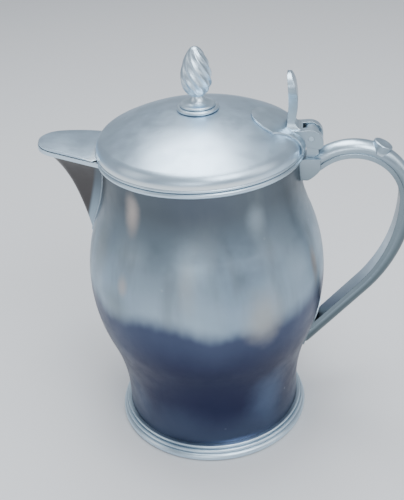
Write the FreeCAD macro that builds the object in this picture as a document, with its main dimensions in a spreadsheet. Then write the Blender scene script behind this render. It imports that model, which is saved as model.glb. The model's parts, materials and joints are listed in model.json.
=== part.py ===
"""Lidded pewter jug: a bellied body with a covered V-shaped spout, a strap handle and a
hinged domed lid with a thumbpiece and an egg-shaped finial.

Frame: +Z up, origin on the jug's axis where the foot meets the table, handle towards +X
and spout towards -X. Lengths are in millimetres. Every driving size is a cell of the
sheet; outlines and places are worked out from those cells and bound to them.
"""
import FreeCAD, Part
import math
import os
import Sketcher

ZERO = 1e-9
NEARLY_HALF = 1.02  # radius over half the chord, in an arc that is nearly a half circle
SPARE = 2  # how much larger a tool is than what it has to cut

SIZES = [
    # the jug's side, seen from outside
    ("mouth_height", 190.0, "top of the rim above the table"),
    ("belly_radius", 73.1, "widest radius of the body"),
    ("belly_height", 108.0, "height of the widest part"),
    ("belly_curve", 108.0, "radius of the belly's curve"),
    ("neck_radius", 57.9, "outer radius at the mouth"),
    ("neck_height", 184.0, "height where the neck turns upright"),
    ("waist_radius", 56.4, "outer radius above the foot"),
    ("waist_height", 20.0, "height where the waist turns upright"),
    ("wall", 1.8, "thickness of the body's wall"),
    # foot and base
    ("foot_radius", 62.6, "radius of the foot's lower roll"),
    ("foot_roll", 5.0, "height of the foot's lower roll"),
    ("foot_reed", 2.2, "height of the foot's middle reed"),
    ("foot_reed_setback", 1.7, "how far the middle reed stands back from the roll"),
    ("foot_crest", 1.6, "height of the foot's top reed"),
    ("foot_crest_setback", 3.3, "how far the top reed stands back from the roll"),
    ("foot_groove", 0.6, "height of the grooves between the reeds"),
    ("foot_bore", 53.6, "radius of the recess under the foot"),
    ("foot_lip", 4.0, "thickness of the foot below the body's edge"),
    ("base_lift", 2.0, "base plate's underside above the body's edge"),
    ("base_thickness", 2.0, "thickness of the base plate"),
    # rim of the mouth
    ("rim_overhang", 3.3, "how far the rim bead stands out from the neck"),
    ("rim_depth", 3.2, "height of the rim bead"),
    # spout: five level outlines from its foot to its lip
    ("spout_root", 7.9, "how far the outlines start inside the neck radius"),
    ("apex_drop", 54.0, "lowest outline below the mouth"),
    ("apex_reach", 12.4, "its nose beyond the neck radius"),
    ("apex_nose", 3.0, "its nose radius"),
    ("apex_width", 8.0, "its half width at the root"),
    ("low_drop", 40.0, "second outline below the mouth"),
    ("low_reach", 15.2, "its nose beyond the neck radius"),
    ("low_nose", 4.0, "its nose radius"),
    ("low_width", 9.0, "its half width at the root"),
    ("middle_drop", 22.0, "third outline below the mouth"),
    ("middle_reach", 20.6, "its nose beyond the neck radius"),
    ("middle_nose", 5.0, "its nose radius"),
    ("middle_width", 11.0, "its half width at the root"),
    ("high_drop", 10.0, "fourth outline below the mouth"),
    ("high_reach", 26.6, "its nose beyond the neck radius"),
    ("high_nose", 7.2, "its nose radius"),
    ("high_width", 16.9, "its half width at the root"),
    ("lip_reach", 37.6, "nose of the lip beyond the neck radius"),
    ("lip_nose", 13.3, "nose radius of the lip"),
    ("lip_width", 24.0, "half width of the lip at the root"),
    ("lip_slope", 0.1, "rise of the lip per millimetre towards its nose"),
    ("spout_wall", 1.5, "thickness of the spout's wall"),
    ("seam_width", 1.6, "flange of the spout on the body"),
    ("seam_thickness", 0.8, "thickness of that flange"),
    ("lip_bead", 1.3, "how far the lip bead stands out"),
    ("lip_bead_depth", 2.4, "height of the lip bead"),
    # lid
    ("lid_radius", 60.4, "outer radius of the dome"),
    ("lid_rise", 20.5, "height of the dome above the foot of its shoulder"),
    ("lid_edge_lift", 3.5, "foot of the dome's shoulder above the mouth"),
    ("lid_shoulder", 7.5, "radius of the dome's rounded shoulder"),
    ("lid_wall", 1.8, "thickness of the dome"),
    ("lid_gap", 0.3, "clearance between lid and rim"),
    ("lid_hem", 1.7, "height of the hem under the dome's edge"),
    ("lid_bead_width", 2.6, "width of that hem"),
    ("lid_bead_stand", 0.5, "how far it stands out from the dome"),
    ("ring_clearance", 0.9, "clearance of the locating ring in the mouth"),
    ("ring_wall", 1.5, "thickness of the locating ring"),
    ("ring_depth", 4.5, "depth of the locating ring below the rim"),
    ("cover_gap", 0.4, "clearance between spout cover and lip"),
    ("cover_thickness", 2.5, "spout cover at the top of its crown"),
    ("cover_crown", 150.0, "radius of the cover's crown"),
    ("cover_overhang", 0.9, "cover beyond the spout's outline"),
    # finial
    ("collar_rise", 8.0, "top of the collar above the dome's crown"),
    ("egg_lower", 9.5, "egg's foot to its widest part"),
    ("egg_upper", 18.5, "egg's widest part to its tip"),
    ("finial_radius", 8.9, "widest radius of the finial's egg"),
    ("finial_neck", 3.6, "radius of the finial's neck"),
    ("finial_tip", 4.2, "radius of the egg's rounded tip"),
    ("finial_heel", 6.6, "radius of the egg's rounded foot"),
    ("collar_radius", 12.5, "radius of the collar's lower disc"),
    ("collar_lower", 2.4, "height of the collar's lower disc at its edge"),
    ("collar_step", 10.3, "radius of the collar's upper disc"),
    ("collar_upper", 1.6, "height of the collar's upper disc"),
    ("cove_foot", 8.6, "radius where the collar's cove starts"),
    ("cove_curve", 5.6, "radius of the collar's cove"),
    ("stud_radius", 2.0, "radius of the finial's stud"),
    ("stud_engagement", 8.0, "depth of the stud in the egg"),
    ("stud_tail", 1.2, "stud beyond the nut"),
    ("washer_radius", 6.0, "radius of the washer under the lid"),
    ("washer_thickness", 1.0, "thickness of that washer"),
    ("nut_flat", 3.5, "half the nut's width across flats"),
    ("nut_height", 3.2, "height of the nut"),
    # hinge
    ("pivot_reach", 64.2, "hinge pin's distance from the jug's axis"),
    ("pivot_lift", 8.2, "hinge pin above the mouth"),
    ("pin_radius", 1.6, "radius of the hinge pin"),
    ("pin_clearance", 0.06, "radial clearance of the pin in the lid's ears"),
    ("knuckle_radius", 4.3, "radius of the handle's knuckle"),
    ("knuckle_width", 3.6, "half width of the handle's knuckle"),
    ("knuckle_waist", 2.7, "front of the knuckle's stem ahead of the pin"),
    ("side_clearance", 0.25, "clearance beside the knuckle"),
    ("hinge_width", 8.5, "half width across the lid's two ears"),
    ("ear_front", 5.9, "ear's front edge ahead of the pin"),
    ("ear_back", 6.9, "ear's back edge behind the pin"),
    ("ear_top", 5.1, "ear's top above the pin"),
    ("ear_bottom", 6.4, "ear's underside below the pin at its back"),
    ("ear_rise", 2.0, "how much higher the ear's underside is at its front"),
    ("ear_shoulder", 7.8, "radius of the ear's upper back corner"),
    ("ear_heel", 3.0, "radius of the ear's lower back corner"),
    ("ear_fall", 0.3, "how much lower the ear's front corner is"),
    ("web_gap", 0.5, "clearance between the knuckle and the lid's web"),
    ("web_length", 8.8, "length of the web that joins the ears"),
    ("leaf_thickness", 1.3, "thickness of the leaf on the dome"),
    ("leaf_tip", 30.5, "leaf's tip from the jug's axis"),
    ("leaf_shoulder", 43.0, "leaf's widest part from the jug's axis"),
    ("leaf_width", 17.2, "half width of the leaf at its shoulder"),
    ("leaf_curve", 18.2, "radius of the leaf's rounded end"),
    ("leaf_heel", 61.2, "where the leaf's sides leave the dome"),
    ("leaf_heel_width", 17.6, "half width of the leaf there"),
    ("leaf_hollow", 13.0, "radius of the leaf's hollow side"),
    # thumbpiece
    ("thumb_height", 32.2, "thumbpiece above the web"),
    ("thumb_front", 50.2, "front of its foot from the jug's axis"),
    ("thumb_foot", 8.2, "length of its foot"),
    ("thumb_blade", 4.8, "thickness of its blade at the waist"),
    ("thumb_lean", 1.7, "how far its tip stands behind its foot's front"),
    ("thumb_tip", 1.3, "radius of its rounded tip"),
    ("thumb_waist", 4.5, "height of its waist above the web"),
    ("thumb_width", 6.8, "half width of the blade"),
    ("thumb_waist_width", 5.0, "half width of its waist"),
    ("thumb_foot_width", 6.4, "half width of its foot"),
    ("thumb_widest", 19.5, "height of its widest part above the web"),
    ("thumb_heel_curve", 4.8, "radius of the hollow behind its waist"),
    ("thumb_back_curve", 37.0, "radius of the blade's back"),
    ("thumb_face_curve", 125.0, "radius of the blade's face"),
    ("thumb_waist_curve", 11.0, "radius of the hollows beside its waist"),
    ("thumb_flank_curve", 30.6, "radius of its sides above the waist"),
    # handle
    ("handle_top", 0.3, "handle's centre line below the mouth at its top"),
    ("handle_standoff", 47.3, "handle's centre line beyond the belly at its widest"),
    ("handle_root_run", 24.0, "straight run from the upper curve into the neck"),
    ("handle_tail_run", 61.0, "straight run from the lower curve into the body"),
    ("handle_root_drop", 22.9, "upper end of the centre line below the mouth"),
    ("handle_root_depth", 7.9, "that end inside the neck radius"),
    ("handle_tail", 50.6, "height of the centre line's lower end"),
    ("handle_cut", 3.0, "handle's cut end above that lower end"),
    ("handle_width", 6.0, "half width of the handle"),
    ("handle_thickness", 9.4, "thickness of the handle"),
    ("handle_edge", 2.6, "height of the handle's side band"),
    ("handle_step", 0.7, "step between the side band and the rounded back"),
    ("button_turn", 26.0, "angle of the button from the top of the curve, degrees"),
    ("button_radius", 5.8, "radius of the button"),
    ("button_height", 1.4, "button above the handle"),
    ("button_edge", 0.8, "rounding of the button's edge"),
    ("button_dish", 3.2, "radius of the dish in the button"),
    ("button_hollow", 9.6, "radius of the dish's curve"),
    ("bracket_width", 6.8, "half width of the upper bracket"),
    ("bracket_length", 11.7, "bracket's top beyond the neck radius"),
    ("bracket_heel", 4.7, "bracket's underside beyond the neck radius"),
    ("bracket_drop", 5.4, "bracket's top below the mouth"),
    ("bracket_foot", 18.6, "bracket's lowest point below the mouth"),
    ("pad_thickness", 1.2, "thickness of the pad under the handle's lower end"),
    ("pad_margin", 0.8, "pad beyond the handle's sides and end"),
    ("pad_sides", 20.2, "straight sides of the pad"),
    ("pad_point", 12.0, "height of the pad's pointed top"),
]


class Size:
    """A number together with the sheet expression that it comes from."""

    def __init__(self, value, text):
        self.value = float(value)
        self.text = text

    @staticmethod
    def of(number):
        return number if isinstance(number, Size) else Size(number, repr(float(number)))

    def __add__(self, other):
        other = Size.of(other)
        return Size(self.value + other.value, f"({self.text} + {other.text})")

    def __sub__(self, other):
        other = Size.of(other)
        return Size(self.value - other.value, f"({self.text} - {other.text})")

    def __mul__(self, other):
        other = Size.of(other)
        return Size(self.value * other.value, f"{self.text} * {other.text}")

    def __truediv__(self, other):
        other = Size.of(other)
        return Size(self.value / other.value, f"{self.text} / ({other.text})")

    def __neg__(self):
        return Size(-self.value, f"(0 - {self.text})")

    __radd__ = __add__

    def __rsub__(self, other):
        return Size.of(other) - self

    __rmul__ = __mul__

    def __rtruediv__(self, other):
        return Size.of(other) / self


def root(number):
    """Square root of a size."""
    return Size(math.sqrt(number.value), f"sqrt({number.text})")


class Sheet:
    """The spreadsheet, whose aliases are read as attributes."""

    def __init__(self, document, rows):
        self.cells = document.addObject("Spreadsheet::Sheet", "Sizes")
        for row, (name, value, meaning) in enumerate(rows, start=1):
            self.cells.set(f"A{row}", name)
            self.cells.set(f"B{row}", str(value))
            self.cells.setAlias(f"B{row}", name)
            self.cells.set(f"C{row}", meaning)
        document.recompute()

    def __getattr__(self, name):
        return Size(self.cells.get(name), f"Sizes.{name}")


doc = FreeCAD.newDocument("lidded_jug")
size = Sheet(doc, SIZES)
nodes = {}


# ---------------------------------------------------------------- drawing helpers

def bind(thing, path, number):
    """Give a property its value from the sheet."""
    thing.setExpression(path, Size.of(number).text)


def place(thing, x=0, y=0, z=0, rotation=None):
    """Place an object at sizes bound to the sheet."""
    spot = [Size.of(x), Size.of(y), Size.of(z)]
    thing.Placement = FreeCAD.Placement(
        FreeCAD.Vector(*[axis.value for axis in spot]), rotation or FreeCAD.Rotation())
    for letter, axis in zip("xyz", spot):
        if "Sizes" in axis.text:
            bind(thing, f"Placement.Base.{letter}", axis)


def point(x, y):
    """A point of a sketch."""
    return FreeCAD.Vector(Size.of(x).value, Size.of(y).value, 0)


def arc_between(start, end, radius, turn):
    """The short arc from start to end; turn is +1 to the left and -1 to the right."""
    middle = (start + end) * 0.5
    chord = end - start
    rise = math.sqrt(max(radius ** 2 - (chord.Length / 2) ** 2, 0))
    left = FreeCAD.Vector(-chord.y, chord.x, 0).normalize()
    centre = middle + left * rise * turn
    circle = Part.Circle(centre, FreeCAD.Vector(0, 0, 1), radius)
    first, last = (start, end) if turn > 0 else (end, start)
    angles = [math.atan2(spot.y - centre.y, spot.x - centre.x) for spot in (first, last)]
    if angles[1] < angles[0]:
        angles[1] += 2 * math.pi
    return Part.ArcOfCircle(circle, *angles)


def fix_point(sketch, edge, end, x, y):
    """Hold one end of an edge at x, y, measured from the sketch's origin."""
    for kind, axis, number in (("DistanceX", -2, x), ("DistanceY", -1, y)):
        number = Size.of(number)
        if abs(number.value) < ZERO:
            sketch.addConstraint(Sketcher.Constraint("PointOnObject", edge, end, axis))
            continue
        if number.value > 0:
            rule = Sketcher.Constraint(kind, -1, 1, edge, end, number.value)
        else:
            number = -number
            rule = Sketcher.Constraint(kind, edge, end, -1, 1, number.value)
        index = sketch.addConstraint(rule)
        bind(sketch, f"Constraints[{index}]", number)


def draw(sketch, start, steps, closed=True):
    """Draw lines and arcs from start through steps, and constrain every corner.

    A step is (x, y) for a line, or (x, y, radius, turn) for an arc.
    """
    corners = [start] + [step[:2] for step in steps]
    points = [point(*corner) for corner in corners]
    ends = []
    for number, step in enumerate(steps):
        before, after = points[number], points[number + 1]
        if len(step) == 2:
            edge = sketch.addGeometry(Part.LineSegment(before, after))
            ends.append((edge, 1, 2))
            continue
        radius, turn = Size.of(step[2]), step[3]
        edge = sketch.addGeometry(arc_between(before, after, radius.value, turn))
        ends.append((edge, 1, 2) if turn > 0 else (edge, 2, 1))
        index = sketch.addConstraint(Sketcher.Constraint("Radius", edge, radius.value))
        bind(sketch, f"Constraints[{index}]", radius)
    for number, (edge, first, last) in enumerate(ends):
        fix_point(sketch, edge, first, *corners[number])
        follower = (number + 1) % len(ends)
        if follower or closed:
            joint = (edge, last, ends[follower][0], ends[follower][1])
            sketch.addConstraint(Sketcher.Constraint("Coincident", *joint))
        else:
            fix_point(sketch, edge, last, *corners[-1])


def new_body(name):
    return doc.addObject("PartDesign::Body", name)


def body_sketch(body, name, plane="XZ_Plane"):
    """A sketch on one of the body's own origin planes."""
    sketch = body.newObject("Sketcher::SketchObject", name)
    support = [item for item in body.Origin.OriginFeatures if item.Role == plane][0]
    sketch.AttachmentSupport = (support, "")
    sketch.MapMode = "FlatFace"
    return sketch


def revolved(name, start, steps):
    """A body turned about the jug's axis; x is the radius and y the height."""
    body = new_body(name)
    sketch = body_sketch(body, name + "_profile")
    draw(sketch, start, steps)
    turn = body.newObject("PartDesign::Revolution", name + "_turn")
    turn.Profile = sketch
    turn.ReferenceAxis = (sketch, ["V_Axis"])
    turn.Angle = 360
    sketch.Visibility = False
    return body


def padded(name, half_width, start, steps, plane="XZ_Plane"):
    """A body of even thickness about the middle plane."""
    body = new_body(name)
    sketch = body_sketch(body, name + "_outline", plane)
    draw(sketch, start, steps)
    pad = body.newObject("PartDesign::Pad", name + "_pad")
    pad.Profile = sketch
    pad.Midplane = True
    bind(pad, "Length", Size.of(half_width) * 2)
    return body


def cylinder(name, radius, height, x=0, y=0, z=0, rotation=None):
    solid = doc.addObject("Part::Cylinder", name)
    bind(solid, "Radius", radius)
    bind(solid, "Height", height)
    place(solid, x, y, z, rotation)
    return solid


def across(name, radius, half_length):
    """A cylinder on the hinge pin's axis, as long on both sides."""
    turn = FreeCAD.Rotation(FreeCAD.Vector(1, 0, 0), -90)
    return cylinder(name, radius, half_length * 2, pivot_x, -half_length, pivot_z, turn)


def sphere(name, radius, x=0, z=0):
    solid = doc.addObject("Part::Sphere", name)
    bind(solid, "Radius", radius)
    place(solid, x, 0, z)
    return solid


def cut(name, base, tool):
    result = doc.addObject("Part::Cut", name)
    result.Base = base
    result.Tool = tool
    return result


def fuse(name, *shapes):
    result = doc.addObject("Part::MultiFuse", name)
    result.Shapes = list(shapes)
    return result


def common(name, *shapes):
    result = doc.addObject("Part::MultiCommon", name)
    result.Shapes = list(shapes)
    return result


def node(name, thing):
    """Name a finished piece."""
    thing.Label = name
    nodes[name] = thing
    return thing


# ---------------------------------------------------------------- shared places

pivot_x = size.pivot_reach
pivot_z = size.mouth_height + size.pivot_lift
inner_mouth = size.neck_radius - size.wall
inner_waist = size.waist_radius - size.wall

lid_edge = size.mouth_height + size.lid_edge_lift
lid_underside = size.mouth_height + size.lid_gap
hem_top = lid_underside + size.lid_hem
shoulder_x = size.lid_radius - size.lid_shoulder
lid_sphere = (shoulder_x * shoulder_x + size.lid_rise * size.lid_rise
              - size.lid_shoulder * size.lid_shoulder) / ((size.lid_rise - size.lid_shoulder) * 2)
lid_centre = lid_edge + size.lid_rise - lid_sphere
lid_inner = lid_sphere - size.lid_wall
finial_foot = lid_edge + size.lid_rise + size.collar_rise
base_underside = size.foot_lip + size.base_lift
handle_reach = size.belly_radius + size.handle_standoff


def on_sphere(radius, distance):
    """Height of the lid's sphere of that radius at a distance from the axis."""
    return lid_centre + root(radius * radius - distance * distance)


def dome_meet(offset):
    """Where the dome's crown runs into its shoulder, moved outwards by offset."""
    share = (lid_sphere + offset) / (lid_sphere - size.lid_shoulder)
    return shoulder_x * share, lid_centre + (lid_edge - lid_centre) * share


# ---------------------------------------------------------------- body

def side_wall(offset):
    """The jug's side, moved outwards by offset: three arcs that run into each other."""
    belly_centre = size.belly_radius - size.belly_curve
    curves = []
    for radius, height in ((size.waist_radius, size.waist_height), (size.neck_radius, size.neck_height)):
        rise = height - size.belly_height
        inset = size.belly_radius - radius
        hollow = (rise * rise + inset * inset) / (inset * 2) - size.belly_curve
        share = (size.belly_curve + offset) / (size.belly_curve + hollow)
        meet_x = belly_centre + (radius + hollow - belly_centre) * share
        meet_z = size.belly_height + rise * share
        curves.append((hollow - offset, meet_x, meet_z))
    (waist_curve, low_x, low_z), (neck_curve, high_x, high_z) = curves
    belly_curve = size.belly_curve + offset
    upright = size.waist_radius + offset
    top = size.neck_radius + offset
    climb = [
        (upright, size.waist_height),
        (low_x, low_z, waist_curve, -1),
        (high_x, high_z, belly_curve, 1),
        (top, size.neck_height, neck_curve, -1),
        (top, size.mouth_height),
    ]
    descent = [
        (top, size.neck_height),
        (high_x, high_z, neck_curve, 1),
        (low_x, low_z, belly_curve, -1),
        (upright, size.waist_height, waist_curve, 1),
    ]
    return climb, descent


def envelope(name, offset):
    """The space inside the jug's side, moved outwards by offset, as one solid."""
    climb, _ = side_wall(offset)
    start = (0, size.foot_lip)
    foot = (size.waist_radius + offset, size.foot_lip)
    return revolved(name, start, [foot] + climb + [(0, size.mouth_height), start])


def body_blank():
    climb, _ = side_wall(Size.of(0))
    _, descent = side_wall(-size.wall)
    start = (size.waist_radius, size.foot_lip)
    inner_top = (inner_mouth, size.mouth_height)
    inner_foot = (inner_waist, size.foot_lip)
    return revolved("body_blank", start, climb + [inner_top] + descent + [inner_foot, start])


def foot_ring():
    """Lower roll, middle reed and top reed, with grooves between them."""
    roll = size.foot_roll / 2
    reed = size.foot_reed / 2
    crest = size.foot_crest / 2
    roll_x = size.foot_radius - roll
    reed_x = size.foot_radius - size.foot_reed_setback - reed
    crest_x = size.foot_radius - size.foot_crest_setback - crest
    roll_top = size.foot_roll
    reed_foot = roll_top + size.foot_groove
    reed_top = reed_foot + size.foot_reed
    crest_foot = reed_top + size.foot_groove
    crest_top = crest_foot + size.foot_crest
    start = (size.foot_bore, 0)
    return revolved("foot_ring", start, [
        (roll_x, 0),
        (roll_x, roll_top, roll * NEARLY_HALF, 1),
        (reed_x, roll_top),
        (reed_x, reed_foot),
        (reed_x, reed_top, reed * NEARLY_HALF, 1),
        (crest_x, reed_top),
        (crest_x, crest_foot),
        (crest_x, crest_top, crest * NEARLY_HALF, 1),
        (size.waist_radius, crest_top),
        (size.waist_radius, size.foot_lip),
        (size.foot_bore, size.foot_lip),
        start,
    ])


def base_plate():
    top = base_underside + size.base_thickness
    start = (0, base_underside)
    return revolved("base_plate", start, [
        (inner_waist, base_underside),
        (inner_waist, top),
        (0, top),
        start,
    ])


def rim_blank():
    """A half-round bead about the mouth."""
    bead = size.rim_depth / 2
    outer = size.neck_radius + size.rim_overhang - bead
    foot = size.mouth_height - size.rim_depth
    start = (size.neck_radius, foot)
    return revolved("rim_blank", start, [
        (outer, foot),
        (outer, size.mouth_height, bead * NEARLY_HALF, 1),
        (size.neck_radius, size.mouth_height),
        start,
    ])


# ---------------------------------------------------------------- spout

lip_cosine = 1 / root(1 + size.lip_slope * size.lip_slope)
lip_sine = size.lip_slope * lip_cosine
lip_level = size.mouth_height - size.neck_radius * size.lip_slope
spout_back = -(size.neck_radius - size.spout_root)


def tongue(sketch, reach, nose, width, offset):
    """A tongue-shaped outline: straight sides that run into a round nose, towards -x."""
    nose = nose - offset
    width = width - offset
    centre = nose - (size.neck_radius + reach - offset)
    run = spout_back - centre
    span = run * run + width * width
    lift = nose * root(span - nose * nose)
    touch_x = centre + (nose * nose * run - lift * width) / span
    touch_y = (nose * nose * width + lift * run) / span
    start = (spout_back, -width)
    draw(sketch, start, [
        (spout_back, width),
        (touch_x, touch_y),
        (touch_x, -touch_y, nose, 1),
        start,
    ])


def level_tongue(name, height, reach, nose, width, offset):
    sketch = doc.addObject("Sketcher::SketchObject", name)
    place(sketch, 0, 0, height)
    tongue(sketch, reach, nose, width, offset)
    return sketch


def lip_plane(sketch, lift):
    """Put a sketch on the sloping plane of the lip, or lifted off it."""
    place(sketch, lip_sine * lift, 0, lip_level + lip_cosine * lift,
          FreeCAD.Rotation(FreeCAD.Vector(0, 1, 0), math.degrees(math.atan(size.lip_slope.value))))
    sketch.setExpression("Placement.Rotation.Angle", f"atan({size.lip_slope.text})")


def lip_tongue(name, lift, offset):
    sketch = doc.addObject("Sketcher::SketchObject", name)
    lip_plane(sketch, lift)
    tongue(sketch, size.lip_reach, size.lip_nose, size.lip_width, offset)
    return sketch


def raised(name, sketch, height):
    """A lip-plane sketch drawn out along the plane's normal."""
    solid = doc.addObject("Part::Extrusion", name)
    solid.Base = sketch
    solid.DirMode = "Normal"
    solid.Solid = True
    bind(solid, "LengthFwd", height)
    return solid


def spout_solid(name, offset, from_apex=True):
    """The spout's outside as one solid, moved inwards by offset."""
    levels = [
        ("apex", size.apex_drop, size.apex_reach, size.apex_nose, size.apex_width),
        ("low", size.low_drop, size.low_reach, size.low_nose, size.low_width),
        ("middle", size.middle_drop, size.middle_reach, size.middle_nose, size.middle_width),
        ("high", size.high_drop, size.high_reach, size.high_nose, size.high_width),
    ]
    sections = []
    for level, drop, reach, nose, width in levels[0 if from_apex else 1:]:
        height = size.mouth_height - drop
        sections.append(level_tongue(f"{name}_{level}", height, reach, nose, width, offset))
    lip = lip_tongue(name + "_lip", Size.of(0), offset)
    loft = doc.addObject("Part::Loft", name + "_loft")
    loft.Sections = sections + [lip]
    loft.Solid = True
    return fuse(name, loft, raised(name + "_mouth", lip, size.rim_depth * SPARE)), loft


def build_jug():
    jug = envelope("jug_envelope", Size.of(0))
    spout_tool, spout_loft = spout_solid("spout_outside", Size.of(0))
    channel, _ = spout_solid("spout_channel", size.spout_wall, from_apex=False)
    node("body_shell", cut("body_shell", body_blank(), channel))
    node("foot_ring", foot_ring())
    node("base_plate", base_plate())
    rim = node("rim_bead", cut("rim_bead", rim_blank(), spout_tool))

    _, wide_loft = spout_solid("spout_seam", -size.seam_width)
    seam_zone = cut("seam_zone", envelope("seam_envelope", size.seam_thickness), jug)
    seam = common("seam_band", wide_loft, seam_zone)
    outside = cut("spout_outer", spout_loft, jug)
    joined = fuse("spout_joined", outside, cut("seam_trimmed", seam, rim))
    spout = node("spout_shell", cut("spout_shell", joined, channel))

    depth = size.lip_bead_depth
    bead = raised("lip_bead_blank", lip_tongue("lip_bead_outline", -depth, -size.lip_bead), depth)
    for number, tool in enumerate((spout_tool, jug, rim, spout)):
        bead = cut(f"lip_bead_{number}", bead, tool)
    node("spout_lip_bead", bead)
    return jug, spout_tool


jug_space, spout_space = build_jug()


# ---------------------------------------------------------------- lid

def lid_dome():
    """A flat crown, a rounded shoulder and a short upright edge, of even thickness."""
    wall = size.lid_wall
    start = (size.stud_radius, on_sphere(lid_sphere, size.stud_radius))
    return revolved("lid_dome", start, [
        (size.stud_radius, on_sphere(lid_inner, size.stud_radius)),
        (*dome_meet(-wall), lid_inner, -1),
        (size.lid_radius - wall, lid_edge, size.lid_shoulder - wall, -1),
        (size.lid_radius - wall, hem_top),
        (size.lid_radius, hem_top),
        (size.lid_radius, lid_edge),
        (*dome_meet(Size.of(0)), size.lid_shoulder, 1),
        (*start, lid_sphere, 1),
    ])


def dome_space(name, offset):
    """The space under the dome's outside, moved outwards by offset, as one solid."""
    outer = size.lid_radius + offset
    start = (0, size.neck_height)
    return revolved(name, start, [
        (outer, size.neck_height),
        (outer, lid_edge),
        (*dome_meet(offset), size.lid_shoulder + offset, 1),
        (0, lid_centre + lid_sphere + offset, lid_sphere + offset, 1),
        start,
    ])


def lid_edge_bead():
    """The hem under the dome's edge, rounded on its outside."""
    bead = size.lid_hem / 2
    inner = size.lid_radius - size.lid_bead_width
    outer = size.lid_radius + size.lid_bead_stand - bead
    start = (inner, lid_underside)
    return revolved("lid_edge_bead", start, [
        (outer, lid_underside),
        (outer, hem_top, bead * NEARLY_HALF, 1),
        (inner, hem_top),
        start,
    ])


def lid_locating_ring(dome):
    """A ring that stands in the mouth, and meets the dome's inside."""
    outer = inner_mouth - size.ring_clearance
    inner = outer - size.ring_wall
    foot = size.mouth_height - size.ring_depth
    top = lid_edge + size.lid_shoulder - size.lid_wall / 2
    start = (inner, foot)
    blank = revolved("ring_blank", start, [
        (outer, foot),
        (outer, top),
        (inner, top),
        start,
    ])
    return cut("lid_locating_ring", blank, dome)


def spout_cover(bead, dome_room):
    """A crowned tongue over the spout, trimmed to the lid's edge."""
    outline = lip_tongue("cover_outline", size.cover_gap, -size.cover_overhang)
    slab = raised("cover_slab", outline, size.cover_thickness * SPARE)
    sink = size.cover_gap + size.cover_thickness - size.cover_crown
    middle = size.neck_radius + size.lip_reach / 2
    crown = sphere("cover_crown", size.cover_crown,
                   lip_sine * sink - lip_cosine * middle,
                   lip_level + lip_cosine * sink + lip_sine * middle)
    shaped = cut("cover_trimmed", common("cover_shaped", slab, crown), dome_room)
    return cut("spout_cover", shaped, bead)


def finial_collar():
    """Two stepped discs and a cove that runs up to the finial's neck."""
    edge_foot = on_sphere(lid_sphere, size.collar_radius)
    lower_top = edge_foot + size.collar_lower
    upper_top = lower_top + size.collar_upper
    lower = size.collar_lower / 2
    upper = size.collar_upper / 2
    start = (size.stud_radius, on_sphere(lid_sphere, size.stud_radius))
    return revolved("finial_collar", start, [
        (size.collar_radius - lower, on_sphere(lid_sphere, size.collar_radius - lower), lid_sphere, -1),
        (size.collar_radius - lower, lower_top, lower * NEARLY_HALF, 1),
        (size.collar_step - upper, lower_top),
        (size.collar_step - upper, upper_top, upper * NEARLY_HALF, 1),
        (size.cove_foot, upper_top),
        (size.finial_neck, finial_foot, size.cove_curve, -1),
        (size.stud_radius, finial_foot),
        start,
    ])


def flank(reach, end):
    """Radius of the egg's side, and where it runs into an end of that radius.

    reach is the distance along the axis from the widest part to the end's centre.
    """
    wide = size.finial_radius
    curve = (wide * wide + reach * reach - end * end) / ((wide - end) * 2)
    share = curve / (curve - end)
    return curve, (wide - curve) * (1 - share), reach * share


def finial_egg():
    """An egg whose sides run into a rounded tip and a rounded foot."""
    bore_top = finial_foot + size.stud_engagement
    widest = finial_foot + size.egg_lower
    top = widest + size.egg_upper
    heel = size.finial_heel
    heel_reach = size.egg_lower - root(heel * heel - size.finial_neck * size.finial_neck)
    lower_curve, heel_x, heel_drop = flank(heel_reach, heel)
    upper_curve, tip_x, tip_rise = flank(size.egg_upper - size.finial_tip, size.finial_tip)
    start = (size.stud_radius, finial_foot)
    return revolved("finial_egg", start, [
        (size.finial_neck, finial_foot),
        (heel_x, widest - heel_drop, heel, 1),
        (size.finial_radius, widest, lower_curve, 1),
        (tip_x, widest + tip_rise, upper_curve, 1),
        (0, top, size.finial_tip, 1),
        (0, bore_top),
        (size.stud_radius, bore_top),
        start,
    ])


def finial_fixing():
    """Stud, washer and nut that hold the finial to the lid."""
    washer_top = on_sphere(lid_inner, size.washer_radius)
    washer_foot = washer_top - size.washer_thickness
    nut_foot = washer_foot - size.nut_height
    stud_foot = nut_foot - size.stud_tail
    stud_length = finial_foot + size.stud_engagement - stud_foot
    node("finial_stud", cylinder("finial_stud", size.stud_radius, stud_length, z=stud_foot))
    start = (size.stud_radius, washer_foot)
    node("finial_washer", revolved("finial_washer", start, [
        (size.washer_radius, washer_foot),
        (size.washer_radius, washer_top),
        (size.stud_radius, washer_top),
        start,
    ]))
    corner = size.nut_flat * 2 / math.sqrt(3)
    hexagon = doc.addObject("Part::Prism", "nut_blank")
    hexagon.Polygon = 6
    bind(hexagon, "Circumradius", corner)
    bind(hexagon, "Height", size.nut_height)
    place(hexagon, z=nut_foot)
    bore = cylinder("nut_bore", size.stud_radius, size.nut_height * SPARE, z=nut_foot - size.stud_tail)
    node("finial_nut", cut("finial_nut", hexagon, bore))


def build_lid():
    dome = node("lid_dome", lid_dome())
    room = dome_space("lid_space", Size.of(0))
    bead = node("lid_edge_bead", lid_edge_bead())
    node("lid_locating_ring", lid_locating_ring(dome))
    node("spout_cover", spout_cover(bead, room))
    node("finial_collar", finial_collar())
    node("finial_egg", finial_egg())
    finial_fixing()
    return bead, room


edge_bead, lid_space = build_lid()


# ---------------------------------------------------------------- hinge on the lid

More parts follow.
